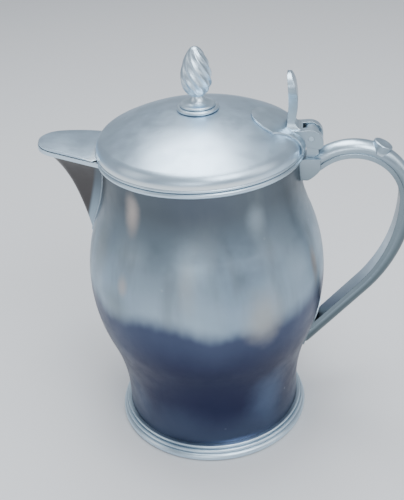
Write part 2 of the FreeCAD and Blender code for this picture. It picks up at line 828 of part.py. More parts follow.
def leaf(name):
    """A shell-shaped leaf that wraps the dome down to its edge, with its tip towards the finial."""
    body = new_body(name + "_prism")
    sketch = body_sketch(body, name + "_plan", "XY_Plane")
    tip = (size.leaf_tip, 0)
    draw(sketch, tip, [
        (size.leaf_shoulder, -size.leaf_width, size.leaf_curve, 1),
        (size.leaf_heel, -size.leaf_heel_width, size.leaf_hollow, -1),
        (size.leaf_heel, size.leaf_heel_width),
        (size.leaf_shoulder, size.leaf_width, size.leaf_hollow, -1),
        (*tip, size.leaf_curve, 1),
    ])
    base = FreeCAD.Vector(0, 0, hem_top.value)
    sketch.AttachmentOffset = FreeCAD.Placement(base, FreeCAD.Rotation())
    bind(sketch, "AttachmentOffset.Base.z", hem_top)
    pad = body.newObject("PartDesign::Pad", name + "_pad")
    pad.Profile = sketch
    bind(pad, "Length", size.lid_rise * SPARE)
    skin = cut(name + "_skin", dome_space(name + "_outer", size.leaf_thickness), lid_space)
    return common(name, body, skin)


web_back = pivot_x - size.knuckle_radius - size.web_gap


def ear_outline():
    """Side view of the ears: flat front, rounded back corners, underside that falls to the back."""
    front = pivot_x - size.ear_front
    back = pivot_x + size.ear_back
    top = pivot_z + size.ear_top
    bottom = pivot_z - size.ear_bottom
    start = (front, bottom + size.ear_rise)
    return start, [
        (back - size.ear_heel, bottom),
        (back, bottom + size.ear_heel, size.ear_heel, 1),
        (back, top - size.ear_shoulder),
        (back - size.ear_shoulder, top, size.ear_shoulder, 1),
        (front, top - size.ear_fall),
        start,
    ]


def lid_hinge():
    """Leaf, web and the two ears, one casting on the lid."""
    ears = padded("ears", size.hinge_width, *ear_outline())
    slot_width = size.knuckle_width + size.side_clearance
    reach = size.ear_top + size.ear_back
    slot_start = (web_back, pivot_z - reach)
    slot = padded("ear_slot", slot_width, slot_start, [
        (pivot_x + reach, pivot_z - reach),
        (pivot_x + reach, pivot_z + reach),
        (web_back, pivot_z + reach),
        slot_start,
    ])
    web_front = web_back - size.web_length
    web_foot = size.mouth_height
    web_start = (web_front, web_foot)
    web = padded("web", size.hinge_width, web_start, [
        (pivot_x - size.ear_front, web_foot),
        (pivot_x - size.ear_front, pivot_z + size.ear_top - size.ear_fall),
        (web_front, pivot_z + size.ear_top - size.ear_fall),
        web_start,
    ])
    joined = fuse("hinge_joined", ears, web, leaf("leaf"))
    casting = cut("hinge_slotted", joined, slot)
    casting = cut("hinge_seated", casting, lid_space)
    casting = cut("hinge_beaded", casting, edge_bead)
    bore = across("ear_bore", size.pin_radius + size.pin_clearance, size.hinge_width * SPARE)
    return cut("lid_hinge", casting, bore)


def thumbpiece(hinge):
    """A curved blade on a flared foot; its width is cut to a spatula's outline."""
    foot = pivot_z + size.ear_top - size.ear_fall
    waist = foot + size.thumb_waist
    tip = foot + size.thumb_height
    front = size.thumb_front
    back = front + size.thumb_foot
    tip_x = front + size.thumb_lean
    tip_z = tip - size.thumb_tip
    start = (front, foot)
    side = padded("thumb_side", size.thumb_width * SPARE, start, [
        (back, foot),
        (front + size.thumb_blade, waist, size.thumb_heel_curve, -1),
        (tip_x + size.thumb_tip, tip_z, size.thumb_back_curve, 1),
        (tip_x, tip, size.thumb_tip, 1),
        (tip_x - size.thumb_tip, tip_z, size.thumb_tip, 1),
        (*start, size.thumb_face_curve, -1),
    ])
    widest = foot + size.thumb_widest
    crown = tip - widest
    crown_curve = (crown * crown + size.thumb_width * size.thumb_width) / (crown * 2)
    front_start = (-size.thumb_foot_width, foot)
    front_view = padded("thumb_front_view", size.pivot_reach * SPARE, front_start, [
        (size.thumb_foot_width, foot),
        (size.thumb_waist_width, waist, size.thumb_waist_curve, -1),
        (size.thumb_width, widest, size.thumb_flank_curve, -1),
        (0, tip, crown_curve, 1),
        (-size.thumb_width, widest, crown_curve, 1),
        (-size.thumb_waist_width, waist, size.thumb_flank_curve, -1),
        (*front_start, size.thumb_waist_curve, -1),
    ], plane="YZ_Plane")
    blank = common("thumb_blank", side, front_view)
    return cut("thumbpiece", blank, fuse("thumb_room", hinge, lid_space))


# ---------------------------------------------------------------- handle

def handle_section(sketch, middle):
    """Flat underside, a side band and a rounded back above a small step."""
    half = size.handle_thickness / 2
    under = middle - half
    band = under + size.handle_edge
    crown = size.handle_width - size.handle_step
    rise = middle + half - band
    curve = (crown * crown + rise * rise) / (rise * 2)
    start = (-size.handle_width, under)
    draw(sketch, start, [
        (size.handle_width, under),
        (size.handle_width, band),
        (crown, band),
        (0, middle + half, curve, 1),
        (-crown, band, curve, 1),
        (-size.handle_width, band),
        start,
    ])


handle_crown = size.mouth_height - size.handle_top
handle_end = size.handle_tail + size.handle_cut
handle_root = (size.neck_radius - size.handle_root_depth, size.mouth_height - size.handle_root_drop)
handle_foot = (size.waist_radius, size.handle_tail)


def upper_curve():
    """Radius and centre of the curve that lies level at the crown and stands upright at the reach.

    A straight run of the stated length joins it to the root.
    """
    across = handle_reach - handle_root[0]
    below = handle_crown - handle_root[1]
    run = size.handle_root_run
    radius = across + below - root(across * below * 2 + run * run)
    return radius, (handle_reach - radius, handle_crown - radius)


def lower_curve(height):
    """Radius and centre of the curve that carries on from the reach down to the straight tail."""
    across = handle_reach - handle_foot[0]
    below = height - handle_foot[1]
    run = size.handle_tail_run
    radius = (across * across + below * below - run * run) / (across * 2)
    return radius, (handle_reach - radius, height)


def touch(spot, centre, radius, turn):
    """Where the straight run from a spot touches a circle."""
    gap = spot - centre
    along = radius ** 2 / gap.Length ** 2
    aside = radius * math.sqrt(gap.Length ** 2 - radius ** 2) / gap.Length ** 2 * turn
    return centre + gap * along + FreeCAD.Vector(-gap.y, gap.x, 0) * aside


def direction(spot, centre):
    return math.atan2(spot.y - centre.y, spot.x - centre.x)


def path_arc(sketch, radius, centre, first, last, hold_centre=True):
    """An arc of a path, drawn from one angle to the other."""
    circle = Part.Circle(point(*centre), FreeCAD.Vector(0, 0, 1), radius.value)
    edge = sketch.addGeometry(Part.ArcOfCircle(circle, first, last))
    if hold_centre:
        fix_point(sketch, edge, 3, *centre)
    index = sketch.addConstraint(Sketcher.Constraint("Radius", edge, radius.value))
    bind(sketch, f"Constraints[{index}]", radius)
    return edge


def hold(sketch, kind, edge, end, number):
    """Hold one coordinate of an edge's end."""
    index = sketch.addConstraint(Sketcher.Constraint(kind, -1, 1, edge, end, number.value))
    bind(sketch, f"Constraints[{index}]", number)


def straight_run(sketch, arc, arc_end, meet, end):
    """A line from the arc to the path's end, tangent to the arc."""
    line = sketch.addGeometry(Part.LineSegment(meet, point(*end)))
    sketch.addConstraint(Sketcher.Constraint("Tangent", arc, arc_end, line, 1))
    fix_point(sketch, line, 2, *end)


def strap_upper_path(body, radius, centre):
    sketch = body_sketch(body, "strap_upper_path")
    meet = touch(point(*handle_root), point(*centre), radius.value, -1)
    arc = path_arc(sketch, radius, centre, math.pi / 2, direction(meet, point(*centre)))
    straight_run(sketch, arc, 2, meet, handle_root)
    hold(sketch, "DistanceX", arc, 1, centre[0])
    return sketch


def strap_lower_path(body, radius, centre):
    sketch = body_sketch(body, "strap_lower_path")
    back, back_centre = lower_curve(centre[1])
    meet = touch(point(*handle_foot), point(*back_centre), back.value, 1)
    arc = path_arc(sketch, radius, centre, 0, math.pi / 2)
    bend = path_arc(sketch, back, back_centre, direction(meet, point(*back_centre)), 0, hold_centre=False)
    hold(sketch, "DistanceX", arc, 2, centre[0])
    sketch.addConstraint(Sketcher.Constraint("Tangent", arc, 1, bend, 2))
    hold(sketch, "DistanceY", arc, 1, centre[1])
    straight_run(sketch, bend, 1, meet, handle_foot)
    return sketch


def handle_strap(radius, centre):
    """The strap, swept both ways from the crown of its curve."""
    body = new_body("handle_strap")
    section = body_sketch(body, "strap_section", "YZ_Plane")
    section.AttachmentOffset = FreeCAD.Placement(FreeCAD.Vector(0, 0, centre[0].value), FreeCAD.Rotation())
    bind(section, "AttachmentOffset.Base.z", centre[0])
    handle_section(section, handle_crown)
    paths = (strap_upper_path(body, radius, centre), strap_lower_path(body, radius, centre))
    doc.recompute()
    for name, path in zip(("strap_upper", "strap_lower"), paths):
        pipe = body.newObject("PartDesign::AdditivePipe", name)
        pipe.Profile = section
        pipe.Spine = (path, [f"Edge{number + 1}" for number in range(path.GeometryCount)])
        doc.recompute()
    return body


def button_blank(radius, centre):
    """A round button with a rounded edge and a shallow dish, on the back of the strap."""
    foot = radius
    top = foot + size.handle_thickness / 2 + size.button_height
    edge = size.button_edge
    start = (0, foot)
    button = revolved("button_blank", start, [
        (size.button_radius, foot),
        (size.button_radius, top - edge),
        (size.button_radius - edge, top, edge, 1),
        (size.button_dish, top),
        (0, top - edge / 2, size.button_hollow, -1),
        start,
    ])
    turn = FreeCAD.Rotation(FreeCAD.Vector(0, 1, 0), size.button_turn.value)
    place(button, centre[0], 0, centre[1], turn)
    bind(button, "Placement.Rotation.Angle", size.button_turn)
    return button


def upper_bracket():
    """The block between the neck and the strap's root, and the space that the strap leaves to it."""
    top = size.mouth_height - size.bracket_drop
    foot = size.mouth_height - size.bracket_foot
    inside = size.neck_radius - size.handle_root_depth
    nose = size.neck_radius + size.bracket_length
    heel = size.neck_radius + size.bracket_heel
    start = (inside, foot)
    blank = padded("bracket_blank", size.bracket_width, start, [
        (heel, foot),
        (nose, foot + (top - foot) / 2, size.bracket_foot, 1),
        (nose, top),
        (inside, top),
        start,
    ])
    low = (inside, foot - size.handle_thickness)
    zone = padded("bracket_zone", size.bracket_width, low, [
        (nose, low[1]),
        (nose, top),
        (inside, top),
        low,
    ])
    return cut("handle_upper_bracket", blank, jug_space), zone


def pad_core():
    """A leaf with a pointed top that wraps the body under the strap's lower end."""
    half = size.handle_width + size.pad_margin
    foot = handle_end - size.pad_margin
    shoulder = foot + size.pad_sides
    rise = size.pad_point
    curve = (rise * rise + half * half) / (half * 2)
    body = new_body("pad_prism")
    plan = body_sketch(body, "pad_plan", "YZ_Plane")
    corner = (-half, foot)
    draw(plan, corner, [
        (half, foot),
        (half, shoulder),
        (0, shoulder + rise, curve, 1),
        (-half, shoulder, curve, 1),
        corner,
    ])
    pad = body.newObject("PartDesign::Pad", "pad_depth")
    pad.Profile = plan
    bind(pad, "Length", handle_reach)
    return common("pad_core", body, envelope("pad_envelope", size.pad_thickness))


def strap_trimmed(strap, pad, zone):
    """The strap without what lies in the jug, the pad, the bracket and below its cut end."""
    below = padded("handle_below", size.handle_width * SPARE, (0, 0), [
        (handle_reach, 0),
        (handle_reach, handle_end),
        (0, handle_end),
        (0, 0),
    ])
    inner = fuse("handle_inner", jug_space, pad)
    for number, tool in enumerate((inner, zone, below)):
        strap = cut(f"handle_{number}", strap, tool)
    return strap


def knuckle_trimmed(handle, bracket):
    """The round knuckle between the lid's ears, on a stem from the handle's crown."""
    foot = size.mouth_height - size.bracket_drop
    front = pivot_x - size.knuckle_waist
    back = pivot_x + size.knuckle_radius
    radius = size.knuckle_radius
    neck = pivot_z - root(radius * radius - size.knuckle_waist * size.knuckle_waist)
    start = (front, foot)
    knuckle = padded("knuckle_blank", size.knuckle_width, start, [
        (back, foot - size.bracket_drop),
        (back, pivot_z),
        (pivot_x, pivot_z + radius, radius, 1),
        (pivot_x - radius, pivot_z, radius, 1),
        (front, neck, radius, 1),
        start,
    ])
    bore = across("knuckle_bore", size.pin_radius, size.hinge_width)
    for number, tool in enumerate((handle, bracket, bore)):
        knuckle = cut(f"knuckle_{number}", knuckle, tool)
    return knuckle


def build_handle():
    radius, centre = upper_curve()
    bracket, zone = upper_bracket()
    pad = pad_core()
    node("handle_upper_bracket", bracket)
    node("handle_lower_pad", cut("handle_lower_pad", pad, jug_space))
    handle = node("handle", strap_trimmed(handle_strap(radius, centre), pad, zone))
    node("handle_knuckle", knuckle_trimmed(handle, bracket))
    node("hinge_pin", across("hinge_pin", size.pin_radius, size.hinge_width))
    node("handle_button", cut("handle_button", button_blank(radius, centre), handle))


hinge_casting = node("lid_hinge", lid_hinge())
node("thumbpiece", thumbpiece(hinge_casting))
build_handle()


# ---------------------------------------------------------------- checks and export

def check_and_export():
    doc.recompute()
    for thing in doc.Objects:
        if {"Invalid", "Error"} & set(thing.State):
            raise RuntimeError(f"{thing.Name} did not compute: {thing.State}")
    for name, thing in nodes.items():
        if thing.Shape.isNull() or not thing.Shape.isValid() or not thing.Shape.Solids:
            raise RuntimeError(f"{name} has no valid solid")
    os.makedirs("parts", exist_ok=True)
    for name, thing in nodes.items():
        thing.Shape.exportStep(f"parts/{name}.step")
        print(f"{name}: {len(thing.Shape.Solids)} solid, {thing.Shape.Volume:.0f} mm3")


check_and_export()
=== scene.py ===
"""A lidded pewter jug in a plain studio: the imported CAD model, its pewter finishes and a fluted finial.

Lengths are in metres unless a comment says mm, in the frame of the CAD model: +Z up, origin on the
jug's axis at the table, handle towards +X and spout towards -X. Colours are linear red, green, blue.
"""
import json
import math
from collections import namedtuple
import bmesh
import bpy
from mathutils import Matrix, Vector

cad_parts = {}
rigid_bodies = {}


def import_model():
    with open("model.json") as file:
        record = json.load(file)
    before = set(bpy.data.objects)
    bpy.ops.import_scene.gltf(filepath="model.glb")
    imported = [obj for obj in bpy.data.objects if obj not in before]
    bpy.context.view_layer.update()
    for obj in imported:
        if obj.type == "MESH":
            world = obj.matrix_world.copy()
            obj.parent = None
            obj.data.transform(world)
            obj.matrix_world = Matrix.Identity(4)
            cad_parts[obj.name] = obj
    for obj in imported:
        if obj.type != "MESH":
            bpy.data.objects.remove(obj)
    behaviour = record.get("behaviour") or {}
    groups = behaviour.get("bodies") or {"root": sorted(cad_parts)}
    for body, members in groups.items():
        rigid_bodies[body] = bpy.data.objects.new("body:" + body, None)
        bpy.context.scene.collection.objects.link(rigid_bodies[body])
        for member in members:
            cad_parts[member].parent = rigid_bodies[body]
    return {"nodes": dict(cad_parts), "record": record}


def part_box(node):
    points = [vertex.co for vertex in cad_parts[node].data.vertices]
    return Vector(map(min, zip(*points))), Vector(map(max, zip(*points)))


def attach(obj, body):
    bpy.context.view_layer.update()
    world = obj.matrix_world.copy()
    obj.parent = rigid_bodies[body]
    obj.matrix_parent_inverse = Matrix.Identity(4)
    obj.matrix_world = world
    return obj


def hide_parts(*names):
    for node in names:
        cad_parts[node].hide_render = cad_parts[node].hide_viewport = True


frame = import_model()
for startup in [thing for thing in bpy.data.objects if thing.name in ("Cube", "Light", "Camera")]:
    bpy.data.objects.remove(startup)
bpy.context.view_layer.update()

MM = 0.001


# ---------------------------------------------------------------- studio

CAMERA_SPOT = Vector((60.97, -463.1, 400.7)) * MM
CAMERA_YAW = 7.81       # degrees, as are the other two turns
CAMERA_PITCH = 31.03
CAMERA_ROLL = -3.44
CAMERA_SENSOR = 36      # mm
CAMERA_LENS = 62.86     # mm

JUG_MIDDLE = (0, 0, 0.12)
LID_MIDDLE = (0, 0, 0.2)
DAYLIGHT = (0.93, 0.97, 1.0)
WARM_LIGHT = (1.0, 0.96, 0.92)
MILD_LIGHT = (1.0, 0.97, 0.94)

Panel = namedtuple("Panel", "name spot target width height power colour")
PANELS = (
    Panel("overhead_panel", (-0.05, 0.1, 1.25), LID_MIDDLE, 0.7, 1.1, 15, DAYLIGHT),
    Panel("key_panel", (0.55, -0.8, 1.0), JUG_MIDDLE, 0.6, 0.6, 8, DAYLIGHT),
    Panel("front_panel", (-0.1, -1.5, 0.5), JUG_MIDDLE, 0.8, 0.3, 3, DAYLIGHT),
    Panel("left_panel", (-1.3, -0.5, 0.7), JUG_MIDDLE, 0.6, 1.1, 2.5, WARM_LIGHT),
    Panel("right_panel", (1.3, -0.4, 0.8), JUG_MIDDLE, 0.6, 1.1, 3, MILD_LIGHT),
)
AMBIENT_COLOUR = (0.76, 0.80, 0.86, 1)
AMBIENT_STRENGTH = 0.5

FLOOR_SIZE = 6
FLOOR_COLOUR = (0.78, 0.79, 0.81, 1)
FLOOR_ROUGHNESS = 0.8


def add_camera():
    """A camera that looks down on the lid and the front of the belly."""
    data = bpy.data.cameras.new("camera")
    data.sensor_fit = "VERTICAL"
    data.sensor_height = CAMERA_SENSOR
    data.lens = CAMERA_LENS
    data.clip_start = 0.01
    camera = bpy.data.objects.new("camera", data)
    bpy.context.scene.collection.objects.link(camera)
    turn = (Matrix.Rotation(math.radians(CAMERA_YAW), 4, "Z")
            @ Matrix.Rotation(math.radians(90 - CAMERA_PITCH), 4, "X")
            @ Matrix.Rotation(math.radians(CAMERA_ROLL), 4, "Z"))
    camera.matrix_world = Matrix.Translation(CAMERA_SPOT) @ turn
    bpy.context.scene.camera = camera


def add_panel(panel):
    """A soft rectangular light that faces its target."""
    data = bpy.data.lights.new(panel.name, "AREA")
    data.shape = "RECTANGLE"
    data.size = panel.width
    data.size_y = panel.height
    data.energy = panel.power
    data.color = panel.colour
    light = bpy.data.objects.new(panel.name, data)
    bpy.context.scene.collection.objects.link(light)
    away = Vector(panel.spot) - Vector(panel.target)
    facing = away.to_track_quat("Z", "Y").to_matrix().to_4x4()
    light.matrix_world = Matrix.Translation(panel.spot) @ facing


def add_lights():
    """The soft panels and an even, slightly cool light from all round."""
    for panel in PANELS:
        add_panel(panel)
    world = bpy.data.worlds.new("studio")
    bpy.context.scene.world = world
    world.use_nodes = True
    background = world.node_tree.nodes["Background"]
    background.inputs["Color"].default_value = AMBIENT_COLOUR
    background.inputs["Strength"].default_value = AMBIENT_STRENGTH


def add_floor():
    """A plain pale floor that belongs to the studio, not to the jug."""
    bpy.ops.mesh.primitive_plane_add(size=FLOOR_SIZE, location=(0, 0, 0))
    floor = bpy.context.object
    floor.name = "floor"
    material = bpy.data.materials.new("pale_floor")
    material.use_nodes = True
    shader = material.node_tree.nodes["Principled BSDF"]
    shader.inputs["Base Color"].default_value = FLOOR_COLOUR
    shader.inputs["Roughness"].default_value = FLOOR_ROUGHNESS
    floor.data.materials.append(material)


# ---------------------------------------------------------------- building a finish

class Finish:
    """A material and the nodes that make its colour, roughness and relief."""

    def __init__(self, name):
        self.material = bpy.data.materials.new(name)
        self.material.use_nodes = True
        self.tree = self.material.node_tree
        self.shader = self.tree.nodes["Principled BSDF"]
        self.place = self.add("ShaderNodeTexCoord").outputs["Object"]

    def add(self, kind, inputs=(), **settings):
        """A node of that kind, whose inputs are values or the outputs of other nodes."""
        node = self.tree.nodes.new(kind)
        for key, value in settings.items():
            setattr(node, key, value)
        for key, value in dict(inputs).items():
            if isinstance(value, bpy.types.NodeSocket):
                self.tree.links.new(value, node.inputs[key])
            else:
                node.inputs[key].default_value = value
        return node

    def join(self, socket, value):
        """Lead an output into the finished surface."""
        self.tree.links.new(value, self.shader.inputs[socket])

    def scaled(self, x, y, z):
        """The object's coordinates, scaled along each axis."""
        node = self.add("ShaderNodeMapping", {"Vector": self.place, "Scale": (x, y, z)})
        return node.outputs["Vector"]

    def along(self, axis):
        """The object's coordinate along one axis."""
        return self.add("ShaderNodeSeparateXYZ", {"Vector": self.place}).outputs[axis]

    def facing(self, axis):
        """How far the surface faces along one of the object's axes, -1 to 1."""
        normal = self.add("ShaderNodeTexCoord").outputs["Normal"]
        return self.add("ShaderNodeSeparateXYZ", {"Vector": normal}).outputs[axis]

    def math(self, operation, first, second):
        node = self.add("ShaderNodeMath", {0: first, 1: second}, operation=operation)
        return node.outputs["Value"]

    def product(self, first, *others):
        """Several shares multiplied together."""
        for other in others:
            first = self.math("MULTIPLY", first, other)
        return first

    def span(self, value, low, high, to_low=0.0, to_high=1.0):
        """A smooth step of a value from low to high, or down where low is the larger."""
        node = self.add("ShaderNodeMapRange", {
            "Value": value, "From Min": low, "From Max": high,
            "To Min": to_low, "To Max": to_high}, interpolation_type="SMOOTHSTEP")
        return node.outputs["Result"]

    def noise(self, vector, scale, detail=4, roughness=0.55, distortion=0):
        node = self.add("ShaderNodeTexNoise", {
            "Vector": vector, "Scale": scale, "Detail": detail,
            "Roughness": roughness, "Distortion": distortion})
        return node.outputs["Fac"]

    def specks(self, scale, size):
        """One small spot in each cell of a scattered pattern, 1 at its middle."""
        node = self.add("ShaderNodeTexVoronoi", {"Vector": self.place, "Scale": scale})
        return self.span(node.outputs["Distance"], size, 0.0)

    def patch(self, painted_patch):
        """A painted patch's share: its strength at the middle, fading to a ragged soft edge."""
        scale = Vector((1 / painted_patch.across, 1 / painted_patch.across, 1 / painted_patch.up))
        shift = Vector(painted_patch.spot) * scale * -1
        stretched = self.add("ShaderNodeMapping", {
            "Vector": self.place, "Scale": scale / MM, "Location": shift}).outputs["Vector"]
        distance = self.add("ShaderNodeVectorMath", {0: stretched}, operation="LENGTH").outputs["Value"]
        wander = self.product(self.noise(self.place, PATCH_GRAIN, detail=3), PATCH_WANDER)
        mean = PATCH_WANDER / 2
        share = self.span(self.math("ADD", distance, wander), 1.0 + mean, PATCH_CORE + mean)
        return self.product(share, painted_patch.strength)

    def mix(self, factor, first, second):
        """The first colour where the factor is 0, the second where it is 1."""
        node = self.add("ShaderNodeMix", data_type="RGBA")
        for socket, value in ((0, factor), (6, first), (7, second)):
            if isinstance(value, bpy.types.NodeSocket):
                self.tree.links.new(value, node.inputs[socket])
            else:
                node.inputs[socket].default_value = value
        return node.outputs[2]

    def near(self, distance, **settings):
        """How open the surface is within a distance, 0 to 1."""
        node = self.add("ShaderNodeAmbientOcclusion", {"Distance": distance},
                        samples=EDGE_SAMPLES, **settings)
        return node.outputs["AO"]

    def bump(self, height, strength, distance, normal):
        node = self.add("ShaderNodeBump", {
            "Height": height, "Strength": strength, "Distance": distance, "Normal": normal})
        return node.outputs["Normal"]


# ---------------------------------------------------------------- pewter

EDGE_SAMPLES = 6
EDGE_ROUNDING = 0.5 * MM
WORN_REACH = 1.2 * MM      # how far from an edge the metal is rubbed bright
CORNER_DARK_REACH = 3 * MM        # how far out of a corner the darkening comes
CORNER_DARK_SHARE = 0.6
WORN_SHARE = 0.7
NICK_SHARE = 0.15
BRIGHT_EDGE = (0.80, 0.90, 0.98, 1)
CORNER_DARK_TONE = (0.10, 0.12, 0.15, 1)


def pewter(name, pale, dark, roughness, tint_and_painted_light=None):
    """Old satin pewter: cloudy tone, worn bright edges, darker in corners and crevices, nicks and fine
    marks.
    """
    finish = Finish(name)
    finish.shader.inputs["Metallic"].default_value = 1.0
    clouds = finish.noise(finish.place, 16, detail=3, roughness=0.5, distortion=0.3)
    colour = finish.mix(finish.span(clouds, 0.35, 0.65), dark, pale)
    # The part's own tint together with its painted shade, painted reflection or painted highlight.
    if tint_and_painted_light is not None:
        colour = tint_and_painted_light(finish, colour)
    # Darker in corners and crevices, close to other surfaces.
    corner_dark = finish.span(finish.near(CORNER_DARK_REACH), 0.75, 0.2, to_high=CORNER_DARK_SHARE)
    colour = finish.mix(corner_dark, colour, CORNER_DARK_TONE)
    worn = finish.span(finish.near(WORN_REACH, inside=True), 0.42, 0.15, to_high=WORN_SHARE)
    colour = finish.mix(worn, colour, BRIGHT_EDGE)
    nicks = finish.product(finish.specks(75, size=0.1), finish.span(clouds, 0.5, 0.6))
    colour = finish.mix(finish.product(nicks, NICK_SHARE), colour, BRIGHT_EDGE)
    finish.join("Base Color", colour)

    grain = finish.noise(finish.place, 90, detail=4, roughness=0.6)
    smooth, rough = roughness
    finish.join("Roughness", finish.span(grain, 0.3, 0.7, to_low=smooth, to_high=rough))

    rounded = finish.add("ShaderNodeBevel", {"Radius": EDGE_ROUNDING}, samples=EDGE_SAMPLES)
    relief = finish.bump(clouds, 0.03, 3 * MM, rounded.outputs["Normal"])
    turning_marks = finish.noise(finish.scaled(6, 6, 150), 5, detail=4, roughness=0.7)
    relief = finish.bump(turning_marks, 0.035, 0.4 * MM, relief)
    relief = finish.bump(nicks, 0.25, -0.3 * MM, relief)
    finish.join("Normal", relief)
    return finish.material


# ---------------------------------------------------------------- tone and painted light of the body

COLD_TONE = (0.25, 0.35, 0.47, 1)
NECK_SHADE_TONE = (0.11, 0.13, 0.15, 1)
STREAK_TONE = (0.20, 0.23, 0.25, 1)
BELLY_REFLECTION_TONE = (0.068, 0.085, 0.145, 1)
LOWER_REFLECTION_TONE = (0.025, 0.030, 0.072, 1)
WAIST_REFLECTION_TONE = (0.085, 0.11, 0.17, 1)
SPOUT_TONE = (0.09, 0.085, 0.085, 1)

# Heights from where a tone starts to where it is full. The last three are read on a wavy level
# that lies LEVEL_DRIFT / 2 above the true height on average.
NECK_HEIGHTS = (0.140, 0.178)
DUSK_LEVELS = (0.137, 0.123)
NIGHT_LEVELS = (0.128, 0.090)
WAIST_LEVELS = (0.064, 0.036)
LEVEL_DRIFT = 0.04

# The spout is what lies beyond a cone round the body's upper part: -x + SPOUT_SLOPE * z.
SPOUT_SLOPE = 0.29
SPOUT_START = (0.1120, 0.1145)

# Painted reflections and a painted shadow on the body's front: spot (x, y, z), reach across and reach up
# in mm, strength, colour.
PATCH_WANDER = 0.5      # how far the ragged edge wanders, in shares of the reach
PATCH_CORE = 0.1        # share of the reach that has the full strength
PATCH_GRAIN = 60
PaintedPatch = namedtuple("PaintedPatch", "spot across up strength colour")
PAINTED_PATCHES = (
    PaintedPatch((4, -58, 182), 32, 24, 0.8, (0.10, 0.12, 0.15, 1)),      # painted shadow below the lid
    PaintedPatch((-35, -50, 172), 8, 18, 0.8, (0.60, 0.53, 0.49, 1)),     # painted warm reflection streak, neck left
    PaintedPatch((-60, -38, 150), 16, 34, 0.5, (0.30, 0.32, 0.31, 1)),    # painted dull reflection, towards the spout
    PaintedPatch((36, -51, 168), 9, 15, 0.6, (0.42, 0.52, 0.60, 1)),      # painted pale reflection, neck right
    PaintedPatch((-3, -69, 140), 8, 34, 0.4, (0.42, 0.44, 0.44, 1)),      # painted pale upright reflection streak
    PaintedPatch((-48, -55, 116), 20, 16, 0.5, (0.22, 0.26, 0.27, 1)),    # painted dull reflection, belly left
    PaintedPatch((-42, -58, 130), 6, 11, 0.6, (0.52, 0.47, 0.43, 1)),     # small painted warm reflection on it
    PaintedPatch((38, -60, 112), 18, 24, 0.7, (0.42, 0.42, 0.40, 1)),     # painted warm reflection, a tongue into the dark
    PaintedPatch((68, -26, 132), 6, 24, 0.7, (0.46, 0.35, 0.27, 1)),      # painted brown reflection, by the handle
    PaintedPatch((40, -42, 40), 20, 34, 0.8, (0.10, 0.14, 0.23, 1)),      # painted paler reflection on the waist, right
    PaintedPatch((-44, -38, 34), 14, 26, 0.5, (0.07, 0.10, 0.17, 1)),     # painted paler reflection on the waist, left
    PaintedPatch((-48, -50, 82), 16, 20, 0.9, (0.04, 0.055, 0.11, 1)),    # painted dark reflection, lower left
)


def body_tone_and_painted_light(finish, colour):
    """Soft upright patches, a darker neck as painted shade of the lid, a dark blue lower belly as painted
    reflection, painted reflection and shadow patches, and a brown spout.
    """
    cold = finish.span(finish.noise(finish.scaled(1, 1, 0.3), 20, detail=2, roughness=0.5),
                       0.5, 0.66, to_high=0.4)
    colour = finish.mix(cold, colour, COLD_TONE)
    # Painted shade of the lid: the neck darkens towards the rim.
    neck = finish.span(finish.along("Z"), *NECK_HEIGHTS, to_high=0.95)
    colour = finish.mix(neck, colour, NECK_SHADE_TONE)
    streaks = finish.span(finish.noise(finish.scaled(1, 1, 0.1), 60, detail=3), 0.45, 0.7, to_high=0.4)
    colour = finish.mix(streaks, colour, STREAK_TONE)

    # Painted reflection of a dark blue surround: dark blue on the lower belly, paler at the waist.
    drift = finish.product(finish.noise(finish.scaled(1, 1, 0.5), 16, detail=4), LEVEL_DRIFT)
    level = finish.math("ADD", finish.along("Z"), drift)
    colour = finish.mix(finish.span(level, *DUSK_LEVELS), colour, BELLY_REFLECTION_TONE)
    colour = finish.mix(finish.span(level, *NIGHT_LEVELS), colour, LOWER_REFLECTION_TONE)
    colour = finish.mix(finish.span(level, *WAIST_LEVELS, to_high=0.6), colour, WAIST_REFLECTION_TONE)

    # Painted reflections and the painted shadow below the lid, one patch at a time.
    for painted_patch in PAINTED_PATCHES:
        colour = finish.mix(finish.patch(painted_patch), colour, painted_patch.colour)
    beyond_body = finish.math("SUBTRACT", finish.product(finish.along("Z"), SPOUT_SLOPE),
                              finish.along("X"))
    return finish.mix(finish.span(beyond_body, *SPOUT_START), colour, SPOUT_TONE)


# ---------------------------------------------------------------- painted highlight on the lid's rim, painted shade on the handle

# Painted highlight on the lid's rim.
RIM_HIGHLIGHT_TONE = (0.86, 0.95, 1.0, 1)
RIM_HEIGHTS = (0.1955, 0.1935)
RIM_RIGHT_END = (0.050, 0.020)       # x, where the painted highlight fades towards the hinge
COVER_JOIN = (-0.063, -0.058)        # x, where the dome gives way to the spout cover

# Painted shade on the sides and undersides of the handle, bracket and hinge.
HANDLE_SHADE_TONE = (0.09, 0.115, 0.125, 1)
HANDLE_START = (0.040, 0.058)        # x
FOOT_HEIGHTS = (0.030, 0.050)
GRIP_HEIGHTS = (0.192, 0.165)
HIDDEN_FACING = (0.6, -0.2)          # upward facing, from lit tops to sides and undersides in painted shade


def lid_rim_painted_highlight(finish, colour):
    """The lid's rim with a painted highlight round the front and the left."""
    rim = finish.span(finish.along("Z"), *RIM_HEIGHTS)
    front = finish.span(finish.along("X"), *RIM_RIGHT_END)
    dome = finish.span(finish.along("X"), *COVER_JOIN)
    return finish.mix(finish.product(rim, front, dome), colour, RIM_HIGHLIGHT_TONE)


def handle_painted_shade(finish, colour):
    """Painted shade: sides and undersides of handle, bracket and hinge, darker than their tops."""
    handle = finish.span(finish.along("X"), *HANDLE_START)
    above_foot = finish.span(finish.along("Z"), *FOOT_HEIGHTS)
    grip = finish.span(finish.along("Z"), *GRIP_HEIGHTS, to_low=0.6, to_high=0.95)
    shaded_side = finish.span(finish.facing("Z"), *HIDDEN_FACING)
    return finish.mix(finish.product(handle, above_foot, grip, shaded_side), colour, HANDLE_SHADE_TONE)


